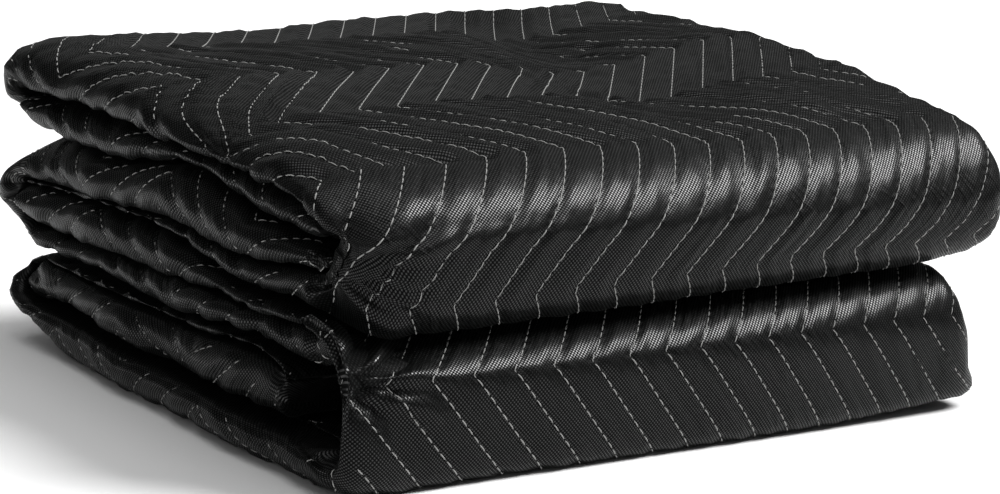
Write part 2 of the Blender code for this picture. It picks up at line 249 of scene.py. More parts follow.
# %% Passes, folds and tucked ends
def straight(name, start, end, step, side_one_up, shows=()):
    """Stations along one pass, without the last one."""
    steps = max(1, math.ceil(abs(end - start) / step))
    row = row_named(name)
    return [Station(row, float(y), side_one_up, shows=shows)
            for y in np.linspace(start, end, steps + 1)[:-1]]


def fold_start(name):
    """Y at which the passes run into a fold."""
    tip, reach = FOLDS[name][:2]
    return tip - reach if tip > DEPTH / 2 else tip + reach


def fold(name, first, second, outward, steps, shows):
    """Stations round a fold between two passes."""
    row_from, row_to = row_named(first), row_named(second)
    tip, depth, above, below, lean, pinch = FOLDS[name]
    radius = abs(row_from[1] - row_to[1]) / 2
    reach = (depth if tip > DEPTH / 2 else -depth) / (radius + 0.5)
    stations = []
    for step in range(steps):
        share = step / steps
        angle = math.pi / 2 - math.pi * share
        if row_to[1] > row_from[1]:
            angle = -angle
        station = Station(row_from, fold_start(name), 1, shows=shows)
        station.level = (row_from[1] + row_to[1]) / 2
        power = 2 / (above if angle > 0 else below)
        station.turn = (station.y, radius, reach, outward, angle, power, lean)
        station.blend = (row_from, row_to, share, pinch)
        station.zone = name
        stations.append(station)
    return stations


def tucked_end(name, y, side_one_up, opens):
    """Stations that close a tucked end to a rounded edge."""
    row = row_named(name)
    stations = [Station(row, y + share * TUCK_TAPER, side_one_up, squeeze)
                for share, squeeze in TUCK_PROFILE]
    return stations if opens else stations[::-1]


print("the upper roll starts at", round(fold_start("upper roll"), 3))

# %% Route of the strip
def strip_route():
    """Every station from the upper tucked end to the lower one."""
    upper_front, lower_front = fold_start("upper roll"), fold_start("lower roll")
    upper, middle, lower = [fold_start(f"{name} back") for name in ("upper", "middle", "lower")]
    route = tucked_end("upper tuck", UPPER_TUCK, -1, True)
    route += straight("upper tuck", UPPER_TUCK + TUCK_TAPER, upper, PASS_STEP, -1)
    route += fold("upper back", "upper tuck", "top pass", 1, TURN_STEPS, (SIDE_ONE,))
    stops = (upper,) + TOP_ROWS + (upper_front,)
    for start, end in zip(stops, stops[1:]):
        route += straight("top pass", start, end, TOP_STEP, 1, (SIDE_ONE,))
    route += fold("upper roll", "top pass", "middle pass", 1, ROLL_STEPS, (SIDE_ONE,))
    route += straight("middle pass", upper_front, middle, PASS_STEP, -1)
    route += fold("middle back", "middle pass", "lower cover", -1, TURN_STEPS, (SIDE_TWO,))
    route += straight("lower cover", middle, lower_front, PASS_STEP, 1)
    route += fold("lower roll", "lower cover", "bottom pass", 1, ROLL_STEPS, (SIDE_ONE,))
    route += straight("bottom pass", lower_front, lower, PASS_STEP, -1, (SIDE_ONE,))
    route += fold("lower back", "bottom pass", "lower tuck", 1, TURN_STEPS, (SIDE_ONE,))
    route += straight("lower tuck", lower, LOWER_TUCK + TUCK_TAPER, PASS_STEP, 1)
    return route + tucked_end("lower tuck", LOWER_TUCK, 1, False)


def side_one_places(stations):
    """Y and level of the stations' places on side one."""
    spots = [station.place(0.5) for station in stations]
    return np.array([float(y) for y, _ in spots]), np.array([float(level) for _, level in spots])


def walked_lengths(route):
    """Distance of each station from the first, along the middle of side one."""
    ys, levels = side_one_places(route)
    zs = height_at(levels, np.full(len(ys), LENGTH / 2), ys)
    steps = np.hypot(np.diff(ys), np.diff(zs))
    return np.concatenate([[0.0], np.cumsum(steps)]), zs


route = strip_route()
lengths, middle_heights = walked_lengths(route)
print(len(route), "stations along", round(float(lengths[-1]), 2), "m of strip")

# %% [markdown]
# ## Where the quilting turns
#
# The rows of stitching run in zigzags along the strip. The rows at which they turn were
# placed from the picture: four on the top, each given by its Y, and one on each front roll's
# face, given by its height. Hidden turns carry on at the same pitch. The second number of a
# turn is where its corners lie across the strip, in spacings.

# %% Turns of the zigzag
LEFT_TURN, RIGHT_TURN = 1.60, 4.45
TURN_PITCH = 3.75 * LINE_SPACING
TOP_TURNS = ((TOP_ROWS[0], 1.95), (TOP_ROWS[1], 4.78), (TOP_ROWS[2], 1.82), (0.046, 4.60))
UPPER_ROLL_TURN = (0.0900, 1.85)
LOWER_ROLL_TURN = (0.0575, 1.27)


def on_pass(name, y):
    """Length along the strip of the station of a pass that is nearest a Y."""
    found = [(abs(s.y - y), length) for s, length in zip(route, lengths)
             if s.turn is None and s.zone == name]
    return min(found)[1]


def on_roll(name, height):
    """Length along the strip of the station on a roll's face that is nearest a height."""
    found = [(abs(z - height), length) for s, z, length in zip(route, middle_heights, lengths)
             if s.zone == name and s.turn is not None]
    return min(found)[1]


def turns():
    """Place and offset of each turn of the zigzag, in the order of the strip."""
    shown = [(on_pass("top pass", y), offset) for y, offset in TOP_TURNS]
    shown.append((on_roll("upper roll", UPPER_ROLL_TURN[0]), UPPER_ROLL_TURN[1]))
    lower_roll = (on_roll("lower roll", LOWER_ROLL_TURN[0]), LOWER_ROLL_TURN[1])
    rows = list(shown)
    place, side = shown[0][0] - TURN_PITCH, RIGHT_TURN
    while place > -TURN_PITCH:
        rows.insert(0, (place, side))
        place, side = place - TURN_PITCH, LEFT_TURN + RIGHT_TURN - side
    gap = lower_roll[0] - shown[-1][0]
    hidden = 2 * round(gap / TURN_PITCH / 2)
    for number in range(1, hidden):
        side = RIGHT_TURN if number % 2 else LEFT_TURN
        rows.append((shown[-1][0] + gap * number / hidden, side))
    rows.append(lower_roll)
    place, side = lower_roll[0] + TURN_PITCH, RIGHT_TURN
    while place < lengths[-1] + TURN_PITCH:
        rows.append((place, side))
        place, side = place + TURN_PITCH, LEFT_TURN + RIGHT_TURN - side
    return rows


def snapped(place):
    """The station's length nearest a place, so that a corner falls on a row of points."""
    if not 0 < place < lengths[-1]:
        return place
    return float(lengths[np.argmin(np.abs(lengths - place))])


turn_rows = [(snapped(place), offset * LINE_SPACING) for place, offset in turns()]


def shift_at(place):
    """How far the rows of stitching have slid along X at a length along the strip."""
    return np.interp(place, [row[0] for row in turn_rows], [row[1] for row in turn_rows])


print(len(turn_rows), "turns of the zigzag")

# %% [markdown]
# ## Rows that wander
#
# The turns are not quite square to the strip. On the upper roll they climb to the right,
# and on the top they bend forward at the left edge. A lag along the strip, which changes
# with the place across it, moves a turn without touching the others.

# %% Lag of the turns
ROLL_ROW_HEIGHT = ((0.08, 0.20, 0.34, 0.46), (0.0895, 0.0955, 0.1030, 0.1075))
LAG_REACH = 0.052
TOP_LAG = 0.024
TOP_LAG_ACROSS = (0.050, 0.060)
FACE_ANGLE = 0.9
LAG_PLACES = 25


def turn_near(place):
    """The turn of the zigzag nearest a length along the strip."""
    return min((row[0] for row in turn_rows), key=lambda length: abs(length - place))


def roll_lag_table():
    """Lag of the upper roll's turn at places across."""
    on_face = [index for index, station in enumerate(route)
               if station.zone == "upper roll" and station.turn[4] < FACE_ANGLE]
    ys, levels = side_one_places([route[index] for index in on_face])
    places = np.linspace(0.0, LENGTH, LAG_PLACES)
    lags = []
    for x in places:
        heights = height_at(levels, np.full(len(ys), x), ys)
        aim = np.interp(x, *ROLL_ROW_HEIGHT)
        order = np.argsort(heights)
        lags.append(np.interp(aim, heights[order], lengths[on_face][order]))
    return places, roll_turn - np.array(lags)


roll_turn = turn_near(on_roll("upper roll", UPPER_ROLL_TURN[0]))
top_turn = turn_near(on_pass("top pass", TOP_ROWS[2]))
roll_lags = roll_lag_table()


def lag_at(place, x):
    """Lag at lengths along the strip and places across it."""
    near_roll = smooth_step(1 - np.abs(place - roll_turn) / LAG_REACH)
    near_top = smooth_step(1 - np.abs(place - top_turn) / LAG_REACH)
    at_edge = smooth_step((TOP_LAG_ACROSS[0] - x) / TOP_LAG_ACROSS[1])
    return near_roll * np.interp(x, *roll_lags) - near_top * TOP_LAG * at_edge


print("lag on the roll in mm", (roll_lags[1][::6] * 1000).round(1))

# %% [markdown]
# ## One ring of points
#
# At each station the cloth is a closed ring: over side one, round the right fold, back along
# side two, and round the two leaves on the left with the slot between them. It starts and
# ends deep in the slot, so a length measured along it grows all the way round. The columns
# slide sideways with the zigzag, and that puts a row of points exactly under each row of
# stitching: the valleys stay crisp with few points.

# %% Leaf edges and their noses
NOSE_POINTS = 13
NOSE_POWER = 0.9
TWO_SEED, RIGHT_SEED = 20, 40


def leaf_edges(station, y):
    """Each leaf's inset, reach and nose, then the slot and the right side's inset."""
    share = min(max(y / DEPTH, 0.0), 1.0)

    def read(row):
        _, level, slot_at, slot_deep, one, two, right_in = row
        one_in = between(*one[:3], share) * MM + EDGE_WANDER * wander(y, level)
        two_in = between(*two[:3], share) * MM + EDGE_WANDER * wander(y, level + TWO_SEED)
        return np.array([one_in, one[3] * MM, one[4], two_in, two[3] * MM, two[4],
                         between(*slot_at, share), slot_deep, right_in * MM])

    row_from, row_to, blend, pinch = station.blend
    late = LATE_BLEND.get(station.zone, 0.0)
    smooth = float(smooth_step((blend - late) / (1 - late)))
    edges = read(row_from) * (1 - smooth) + read(row_to) * smooth
    middle_of_turn = math.sin(math.pi * blend) ** 2
    edges[ONE_IN] += pinch * middle_of_turn
    leaf, further_in = INNER_LEAF.get(station.zone, (ONE_IN, 0.0))
    edges[leaf] += further_in * middle_of_turn
    if station.zone in OUTER_SLOT:
        edges[SLOT_AT] += (OUTER_SLOT[station.zone] - edges[SLOT_AT]) * middle_of_turn
    return edges


def nose(inset, reach, nose_at, outer, inner):
    """X and thickness round one leaf's edge, from its outer face to the slot."""
    middle = outer + nose_at * (inner - outer)
    angles = np.pi * np.arange(1, NOSE_POINTS + 1) / (NOSE_POINTS + 1)
    outside = angles < np.pi / 2
    half = np.where(outside, abs(outer - middle), abs(middle - inner))
    width = np.where(outside, reach, min(reach, SLOT_LIP))
    x = inset + width * (1 - np.sin(angles) ** NOSE_POWER)
    return x, middle + math.copysign(1, outer - inner) * half * np.cos(angles)


print("edges of the first station", leaf_edges(route[0], UPPER_TUCK).round(3))

# %% Columns of a face
PUFFS = 18
COLUMNS_PER_PUFF = 10
COLUMNS = PUFFS * COLUMNS_PER_PUFF
COARSE_STEP = 18
COLUMN_WIDTH = LINE_SPACING / COLUMNS_PER_PUFF
FIRST_COLUMN = 0.013
EDGE_FADE = 0.070
EDGE_STRETCH = 0.060
MEAN_SHIFT = 3.2 * LINE_SPACING


def face_columns(start, end, place, step, mirrored=False):
    """X of the columns of one face. They follow the zigzag and run straight at the edges."""
    column = np.arange(0, COLUMNS + 1, step)
    base = FIRST_COLUMN + column * COLUMN_WIDTH
    last = FIRST_COLUMN + COLUMNS * COLUMN_WIDTH
    near_left = np.clip(1 - (base - FIRST_COLUMN) / EDGE_STRETCH, 0, 1)
    near_right = np.clip(1 - (last - base) / EDGE_STRETCH, 0, 1)
    shift = shift_at(place + lag_at(place, base)) - MEAN_SHIFT
    base = base + (start - FIRST_COLUMN) * near_left + (end - last) * near_right
    fade = smooth_step(np.minimum(base - start, end - base) / EDGE_FADE)
    return base + (-shift if mirrored else shift) * fade


print("columns every", round(COLUMN_WIDTH * 1000, 2), "mm")

# %% Ring of points at a station
RIGHT_POINTS = 7


def length_round(points, kind):
    """Length along a ring. On its two faces it is X alone, so the weave lies straight."""
    x = points[:, 0]
    steps = np.linalg.norm(np.diff(points, axis=0), axis=1)
    walked = np.concatenate([[0.0], np.cumsum(steps)])
    one, two = np.flatnonzero(kind == SIDE_ONE), np.flatnonzero(kind == SIDE_TWO)
    across = walked - walked[one[0]] + x[one[0]]
    across[one] = x[one]
    across[one[-1] + 1:] += x[one[-1]] - (walked[one[-1]] - walked[one[0]] + x[one[0]])
    turned = across[two[0]]
    after = walked[two[-1] + 1:] - walked[two[-1]]
    across[two] = turned + x[two[0]] - x[two]
    across[two[-1] + 1:] = across[two[-1]] + after
    return across


def ring(station, place):
    """Points round the strip, with the length along the ring and what kind of place it is."""
    y_middle = float(station.place(0.0)[0])
    one_in, one_reach, one_nose, two_in, two_reach, two_nose, slot_at, slot_deep, right_in = (
        leaf_edges(station, y_middle))
    far = LENGTH - right_in - RIGHT_WANDER * wander(y_middle, station.level + RIGHT_SEED)
    upper, lower = slot_at + SLOT_GAP / 2, slot_at - SLOT_GAP / 2
    slot_end = max(one_in, two_in) + SLOT_LIP + slot_deep
    one_nose_x, one_nose_t = nose(one_in, one_reach, one_nose, 0.5, upper)
    two_nose_x, two_nose_t = nose(two_in, two_reach, two_nose, -0.5, lower)
    one_step = 1 if SIDE_ONE in station.shows else COARSE_STEP
    two_step = 1 if SIDE_TWO in station.shows else COARSE_STEP
    one_x = face_columns(one_in + one_reach, far - RIGHT_ROUND, place, one_step)
    two_x = face_columns(two_in + two_reach, far - RIGHT_ROUND, place, two_step, True)[::-1]
    angles = np.pi * np.arange(1, RIGHT_POINTS + 1) / (RIGHT_POINTS + 1)
    right_x = far - RIGHT_ROUND * (1 - np.sin(angles))
    lip_one = one_in + min(one_reach, SLOT_LIP)
    lip_two = two_in + min(two_reach, SLOT_LIP)
    runs = (
        ("slot", [slot_end, lip_one], [upper, upper]),
        ("nose", one_nose_x[::-1], one_nose_t[::-1]),
        (SIDE_ONE, one_x, np.full(len(one_x), 0.5)),
        ("right", right_x, 0.5 * np.cos(angles)),
        (SIDE_TWO, two_x, np.full(len(two_x), -0.5)),
        ("nose", two_nose_x, two_nose_t),
        ("slot", [lip_two, slot_end], [lower, lower]),
        ("slot", [slot_end + SLOT_POINT], [slot_at]),
    )
    x = np.concatenate([run[1] for run in runs])
    thickness = np.concatenate([run[2] for run in runs])
    kind = np.concatenate([[run[0]] * len(run[1]) for run in runs])
    y, level = station.place(thickness)
    points = np.stack([x, y, height_at(level, x, y)], axis=1)
    return points, length_round(points, kind), kind


rings = [ring(station, place) for station, place in zip(route, lengths)]
print("points in the widest ring", max(len(points) for points, _, _ in rings))

# %% [markdown]
# ## Joining the rings
#
# Neighbouring rings are joined run by run. Where a fine face meets a coarse hidden one, each
# coarse step fans out to its fine ones, so the skin stays one closed surface.

# %% Join the rings into faces
def runs_of(kind, first_index):
    """Lists of point numbers for the four runs, each ending on the next one's first point."""
    numbers = np.arange(len(kind)) + first_index
    one = numbers[kind == SIDE_ONE]
    two = numbers[kind == SIDE_TWO]
    right = numbers[kind == "right"]
    left = np.concatenate([numbers[numbers > two[-1]], numbers[numbers < one[0]]])
    return (one, np.concatenate([[one[-1]], right, [two[0]]]), two,
            np.concatenate([[two[-1]], left, [one[0]]]))


def bridged(row_a, row_b):
    """Faces between two rows whose counts are equal or a multiple of each other."""
    fewer = min(len(row_a), len(row_b)) - 1
    step_a, step_b = (len(row_a) - 1) // fewer, (len(row_b) - 1) // fewer
    faces = []
    for cell in range(fewer):
        side_a = row_a[cell * step_a:(cell + 1) * step_a + 1]
        side_b = row_b[cell * step_b:(cell + 1) * step_b + 1]
        if len(side_a) == len(side_b):
            faces.append((side_a[0], side_a[1], side_b[1], side_b[0]))
            continue
        flip = len(side_b) > len(side_a)
        many, few = (side_b, side_a) if flip else (side_a, side_b)
        half = len(many) // 2
        fan = [(many[n], many[n + 1], few[0] if n < half else few[1])
               for n in range(len(many) - 1)]
        fan.append((many[half], few[1], few[0]))
        faces += [face[::-1] if flip else face for face in fan]
    return faces


first = 0
ring_runs = []
for points, _, kind in rings:
    ring_runs.append(runs_of(kind, first))
    first += len(points)
faces = []
for here, following in zip(ring_runs, ring_runs[1:]):
    for row_a, row_b in zip(here, following):
        faces += bridged(row_a, row_b)
for number in (0, -1):
    loop = np.concatenate([run[:-1] for run in ring_runs[number]])
    faces.append(tuple(loop[::-1]) if number == 0 else tuple(loop))
print(first, "points and", len(faces), "faces")

# %% Make the smooth cloth mesh
points = np.concatenate([item[0] for item in rings])
across = np.concatenate([item[1] for item in rings])
kinds = np.concatenate([item[2] for item in rings])
counts = [len(item[0]) for item in rings]
along = np.repeat(lengths, counts)
phase = (across - shift_at(along + lag_at(along, across))) / LINE_SPACING
zones = np.repeat([station.zone for station in route], counts)
shown_face = np.concatenate([
    np.array([name in station.shows for name in item[2]]) for station, item in zip(route, rings)
])
raw_low, raw_high = points.min(axis=0), points.max(axis=0)
points[:, 0] = (points[:, 0] - raw_low[0]) / (raw_high[0] - raw_low[0]) * LENGTH
points[:, 1] = (points[:, 1] - raw_low[1]) / (raw_high[1] - raw_low[1]) * DEPTH
points[:, 2] = np.maximum(points[:, 2], 0.0)

cloth = bpy.data.meshes.new("blanket_cloth")
world = points + np.array([low.x, low.y, 0.0])
cloth.from_pydata(world, [], [tuple(map(int, face)) for face in faces])
cloth.update()


def normals_of(mesh):
    """Outward direction at each point of a mesh."""
    values = np.empty(len(mesh.vertices) * 3, np.float32)
    mesh.vertex_normals.foreach_get("vector", values)
    return values.reshape(-1, 3).astype(float)


outward = normals_of(cloth)
facing = np.mean(outward[(zones == "top pass") & (kinds == SIDE_ONE), 2])
if facing < 0:
    cloth.flip_normals()
    outward = normals_of(cloth)
print("mean upward direction of the top", round(abs(float(facing)), 2))

# %% [markdown]
# ## Puffs, hollows and creases
#
# The padding swells between the rows of stitching and is pulled down along them. How far a
# point is from its row comes straight from the length round the ring, so the valleys wrap
# round the leaf edges as the real ones do. Slow unevenness and ripples along the rows go on
# top of that.

# %% Puffs between the rows of stitching
PUFF = {
    # zone          swell between rows, unevenness, ripples, in metres
    "top pass":     (0.0028, 0.0010, 0.0014),
    "upper roll":   (0.0010, 0.0006, 0.0005),
    "lower roll":   (0.0010, 0.0005, 0.0004),
    "upper back":   (0.0012, 0.0012, 0.0006),
    "middle back":  (0.0018, 0.0012, 0.0006),
    "lower back":   (0.0018, 0.0012, 0.0006),
    "upper tuck":   (0.0022, 0.0016, 0.0008),
    "middle pass":  (0.0022, 0.0016, 0.0008),
    "lower cover":  (0.0022, 0.0014, 0.0008),
    "lower tuck":   (0.0022, 0.0016, 0.0008),
    "bottom pass":  (0.0014, 0.0008, 0.0005),
}
PUFF_POWER = 2.8
PUFF_MEAN = 0.72
UNEVEN_LENGTH = 0.070
RIPPLES_A_ROW = 3.3
RIPPLE_LENGTH = 0.065
CRUMPLE_LENGTHS = (0.011, 0.013)
from_row = np.abs(phase - np.round(phase)) * 2
swell, uneven, ripple = [np.array([PUFF[zone][n] for zone in zones]) for n in range(3)]
profile = 1 - (1 - from_row) ** PUFF_POWER


def wavy(u, v, seed):
    """Smooth noise from -1 to 1 over two coordinates."""
    return np.array([noise.noise((a, b, seed)) for a, b in zip(u, v)]) * NOISE_GAIN


raised = swell * (profile - PUFF_MEAN)
raised += uneven * wavy(across / UNEVEN_LENGTH, along / UNEVEN_LENGTH, seed=3.1)
off_row = np.minimum(1, from_row * 2)
raised += ripple * wavy(phase * RIPPLES_A_ROW, along / RIPPLE_LENGTH, seed=8.7) * off_row
crumples = wavy(across / CRUMPLE_LENGTHS[0], along / CRUMPLE_LENGTHS[1], seed=5.2)
raised += 0.5 * ripple * crumples * off_row
soft = np.isin(kinds, ["nose", "right"]) | shown_face
raised = np.where(soft, raised, 0.0)
print("swell from", round(raised.min() * 1000, 1), "to", round(raised.max() * 1000, 1), "mm")

# %% [markdown]
# ## Hollows and creases
#
# The top of a soft block isn't flat. Its main hollows and creases were placed one by one, each
# as a line with a width and a depth, as a maker would press them in with a finger.

# %% Hollows and creases of the top
TOP_TROUGHS = (
    # start             end                 width  depth
    ((0.048, -0.160),   (0.078, 0.090),     0.050, 0.0095),
    ((0.060, 0.000),    (0.150, 0.200),     0.050, 0.0115),
    ((-0.233, -0.170),  (-0.130, -0.150),   0.030, 0.0070),
    ((-0.240, -0.090),  (-0.165, -0.065),   0.028, 0.0070),
    ((0.170, -0.100),   (0.190, 0.060),     0.030, -0.0045),
    ((-0.200, -0.010),  (-0.130, 0.030),    0.030, -0.0025),
    ((0.222, -0.170),   (0.232, 0.110),     0.036, -0.0055),
)
TROUGH_END = 0.08
CREASES = (
    # start             end                 width   depth    lip beside it
    ((0.012, 0.060),    (0.026, -0.040),    0.0050, 0.0016,  0.0010),
    ((0.024, -0.030),   (0.032, -0.100),    0.0045, 0.0024,  0.0016),
    ((0.031, -0.090),   (0.062, -0.150),    0.0045, 0.0020,  0.0012),
    ((0.075, 0.040),    (0.150, 0.075),     0.0060, 0.0016,  0.0010),
    ((0.062, 0.075),    (0.120, 0.110),     0.0060, 0.0014,  0.0010),
    ((-0.060, 0.060),   (0.010, 0.045),     0.0060, 0.0012,  0.0008),
    ((-0.215, 0.095),   (-0.120, 0.100),    0.0070, 0.0016,  0.0010),
    ((-0.225, -0.080),  (-0.150, -0.100),   0.0060, 0.0018,  0.0012),
    ((-0.215, -0.160),  (-0.090, -0.170),   0.0060, 0.0016,  0.0012),
    ((0.120, -0.140),   (0.190, -0.170),    0.0060, 0.0010,  0.0008),
)
CREASE_END = 0.02
CREASE_FADE = 0.7
LIP_AT, LIP_WIDTH = 2.2, 1.6


def along_line(start, end):
    """Share along a line and signed distance from it, for every point."""
    start, end = np.array(start), np.array(end)
    line = end - start
    length = np.linalg.norm(line)
    offset = world[:, :2] - start
    share = np.clip(offset @ line / length ** 2, 0, 1)
    gap = offset - share[:, None] * line
    side = (line[0] * offset[:, 1] - line[1] * offset[:, 0]) / length
    return share, np.linalg.norm(gap, axis=1) * np.where(side < 0, -1, 1)


on_top = (zones == "top pass") & (kinds != "slot") & (kinds != SIDE_TWO)
on_top &= outward[:, 2] > 0.0
for start, end, width, depth in TOP_TROUGHS:
    share, gap = along_line(start, end)
    fade = np.sin(np.pi * np.clip(share, TROUGH_END, 1 - TROUGH_END))
    raised -= np.where(on_top, depth * fade * np.exp(-(gap / width) ** 2), 0)
for start, end, width, depth, lip in CREASES:
    share, gap = along_line(start, end)
    fade = np.sin(np.pi * np.clip(share, CREASE_END, 1 - CREASE_END)) ** CREASE_FADE
    fold_line = -depth * np.exp(-(gap / width) ** 2)
    beside = lip * np.exp(-((gap - LIP_AT * width) / (LIP_WIDTH * width)) ** 2)
    raised += np.where(on_top, fade * (fold_line + beside), 0)
print("deepest hollow", round(-raised.min() * 1000, 1), "mm")

# %% Pinched corners of the rolls
PINCHES = (
    # roll          X from middle, height, radius, depth, creases round it, their depth
    ("upper roll",  -0.228, 0.106, 0.028, 0.0070, 7, 0.0032),
    ("lower roll",  -0.228, 0.058, 0.024, 0.0060, 6, 0.0030),
)
RAYS_AT, RAYS_WIDTH = 0.028, 0.026
for zone, x, z, radius, depth, creases, crease_depth in PINCHES:
    offset_x, offset_z = world[:, 0] - x, world[:, 2] - z
    reach = np.hypot(offset_x, offset_z)
    angle = np.arctan2(offset_z, offset_x)
    near = (zones == zone) & soft
    well = -depth * np.exp(-(reach / radius) ** 2)
    rays = np.cos(angle * creases * 2 + 3 * np.sin(angle * 3)) * crease_depth
    rays *= np.exp(-((reach - RAYS_AT) / RAYS_WIDTH) ** 2)
    raised += np.where(near, well + rays, 0)
print(len(PINCHES), "pinched corners")

# %% [markdown]
# ## Ends that taper, droop and point
#
# Soft folds don't end squarely. The upper roll narrows at its right end and its crest droops
# towards the front. At the left, the back folds come to blunt points that stand in or out
# by their height. These moves are made on the whole mesh before it is puffed up, so the
# quilting goes along with them. The top also dips a little at the back, and the lower roll
# leans out at its right foot. The solid leaves these out, as forms of the cloth alone.

# %% Taper and droop of the upper roll
TAPER_ABOVE = 0.02
TAPER_BELOW = 0.14
TAPER_HOLD = 1.4
TAPER_FADE = 0.10
RIGHT_TAPER_WIDTH = 0.055
ROLL_MIDDLE = 0.118
from_front = world[:, 1] - low.y
upper_front = np.isin(zones, ["upper roll", "top pass"])
at_right = smooth_step((world[:, 0] - low.x - LENGTH + RIGHT_TAPER_WIDTH) / RIGHT_TAPER_WIDTH)
squeeze = upper_front * smooth_step(TAPER_HOLD - from_front / TAPER_FADE)
from_middle = world[:, 2] - ROLL_MIDDLE
taper = np.where(from_middle > 0, TAPER_ABOVE, TAPER_BELOW)
world[:, 2] -= from_middle * taper * at_right * squeeze

FRONT_DROOP = 0.0060
DROOP_FROM = 0.078
DROOP_WIDTH = 0.062
DROOP_LOW, DROOP_RISE = 0.098, 0.062
DROOP_RIGHT_FADE = 0.110
droop = smooth_step((DROOP_FROM - from_front) / DROOP_WIDTH)
droop = droop * smooth_step((world[:, 2] - DROOP_LOW) / DROOP_RISE)
droop = droop * smooth_step((high.x - world[:, 0]) / DROOP_RIGHT_FADE)
world[:, 2] -= FRONT_DROOP * droop * upper_front
print("largest droop", round(FRONT_DROOP * float(droop.max()) * 1000, 1), "mm")

# %% Points of the back folds
POINTED = (
    # fold          level of the tip, share of the way to a point
    ("upper back",  5.20,  0.20),
    ("middle back", 2.75,  0.60),
    ("lower back",  1.20,  0.55),
)
POINTED_WIDTH = 0.075
for zone, level, share in POINTED:
    tip, reach = FOLDS[zone][:2]
    here = np.flatnonzero(zones == zone)
    across_x, into_y = world[here, 0] - low.x, world[here, 1] - low.y
    middle_z = height_at(np.full(len(here), level), across_x, np.clip(into_y, 0, DEPTH))
    from_tip = world[here, 2] - middle_z
    turn = np.clip((into_y - (tip - reach)) / reach, 0, 0.999)
    at_left = smooth_step(1 - across_x / POINTED_WIDTH)
    factor = np.sqrt((1 - turn) / (1 + turn))
    world[here, 2] = middle_z + from_tip * (1 - share * at_left * (1 - factor))
print(len(POINTED), "pointed folds")

# %% Left side at the back, by height
LEFT_BACK = (
    # height  how far in, in metres
    (0.000,   0.010),
    (0.017,  -0.003),
    (0.026,  -0.006),
    (0.036,  -0.003),
    (0.044,   0.004),
    (0.054,   0.003),
    (0.065,   0.000),
    (0.077,   0.002),
    (0.088,  -0.006),
    (0.104,  -0.001),
    (0.116,   0.006),
    (0.128,   0.016),
    (0.138,   0.002),
    (0.148,  -0.007),
    (0.160,  -0.001),
    (0.178,  -0.003),
)
LEFT_BACK_WIDTH = 0.060
LEFT_BACK_FROM, LEFT_BACK_RAMP = 0.31, 0.07
near_left = smooth_step(1 - (world[:, 0] - low.x) / LEFT_BACK_WIDTH)
at_back = smooth_step((from_front - LEFT_BACK_FROM) / LEFT_BACK_RAMP) * near_left
heights, moves = zip(*LEFT_BACK)
world[:, 0] += np.interp(world[:, 2], heights, moves) * at_back
print("moved by", min(moves), "to", max(moves))

# %% Dip, lift and lean
DIP = 0.006
DIP_CENTRE = -0.090
DIP_WIDTH = 0.110
DIP_FROM, DIP_RAMP = 0.28, 0.08
DIP_LOW, DIP_RISE = 0.12, 0.06
dip = np.exp(-((world[:, 0] - DIP_CENTRE) / DIP_WIDTH) ** 2)
dip *= smooth_step((from_front - DIP_FROM) / DIP_RAMP) * smooth_step((world[:, 2] - DIP_LOW) / DIP_RISE)
world[:, 2] -= DIP * dip

# the lowest layer lifts off the floor at the back left corner
LIFT = 0.010
LIFT_HEIGHT = 0.030
world[:, 2] += LIFT * at_back * smooth_step(1 - world[:, 2] / LIFT_HEIGHT)

# the lower roll's right end leans out at its foot
LEAN = 0.19
LEAN_HEIGHT = 0.050
leaning = np.isin(zones, ["lower roll"]) * at_right
world[:, 0] += (LEAN_HEIGHT - world[:, 2]) * LEAN * leaning
print("foot leans out by", round(LEAN * LEAN_HEIGHT * 1000, 1), "mm")

# %% Puff up the cloth and lay it on the floor
FLAT_LIMIT = 0.0012
FLAT_NEAR_ROW = 0.35
world = world + outward * raised[:, None]
world[:, 2] = np.maximum(world[:, 2], 0.0)
under = (zones == "bottom pass") & (kinds == SIDE_ONE)
flat = np.minimum(world[under, 2], FLAT_LIMIT) * (from_row[under] < FLAT_NEAR_ROW)
world[under, 2] = flat + LIFT * at_back[under]
cloth.vertices.foreach_set("co", world.ravel())
cloth.update()
outward = normals_of(cloth)
print("cloth box", (world.max(axis=0) - world.min(axis=0)).round(3))

# %% [markdown]
# ## Cloth coordinates
#
# The weave has to lie in the cloth's own directions, not in the room's. Two maps carry them:
# one in metres round the ring and along the strip, for the threads, and one with the row
# of quilting in place of the length, for wrinkles that run beside the stitching.

# %% Maps for the weave and the quilting
corner = np.empty(len(cloth.loops), np.int32)
cloth.loops.foreach_get("vertex_index", corner)
for name, first_value in (("cloth", across), ("quilt", phase)):
    layer = cloth.uv_layers.new(name=name)
    layer.data.foreach_set("uv", np.stack([first_value[corner], along[corner]], axis=1).ravel())
cloth.shade_smooth()


def placed(name, data):
    """A new object in the scene."""
    made = bpy.data.objects.new(name, data)
    bpy.context.scene.collection.objects.link(made)
    return made


blanket = placed("blanket_cloth", cloth)
print(len(cloth.polygons), "faces of cloth")

# %% [markdown]
# ## Stitches
#
# The rows are lock stitches of pale thread, about 6 mm each, and every one dips into the
# cloth at both ends. They could be drawn in the material, but as small arched bars they
# catch the light and stay sharp from near. Each row is followed from station to station
# wherever its place on the ring shows.

# %% Follow each row of stitching
TIGHT_ZONES = ("top pass", "upper roll", "upper back")
seen = soft.astype(float)
starts = np.concatenate([[0], np.cumsum(counts)])


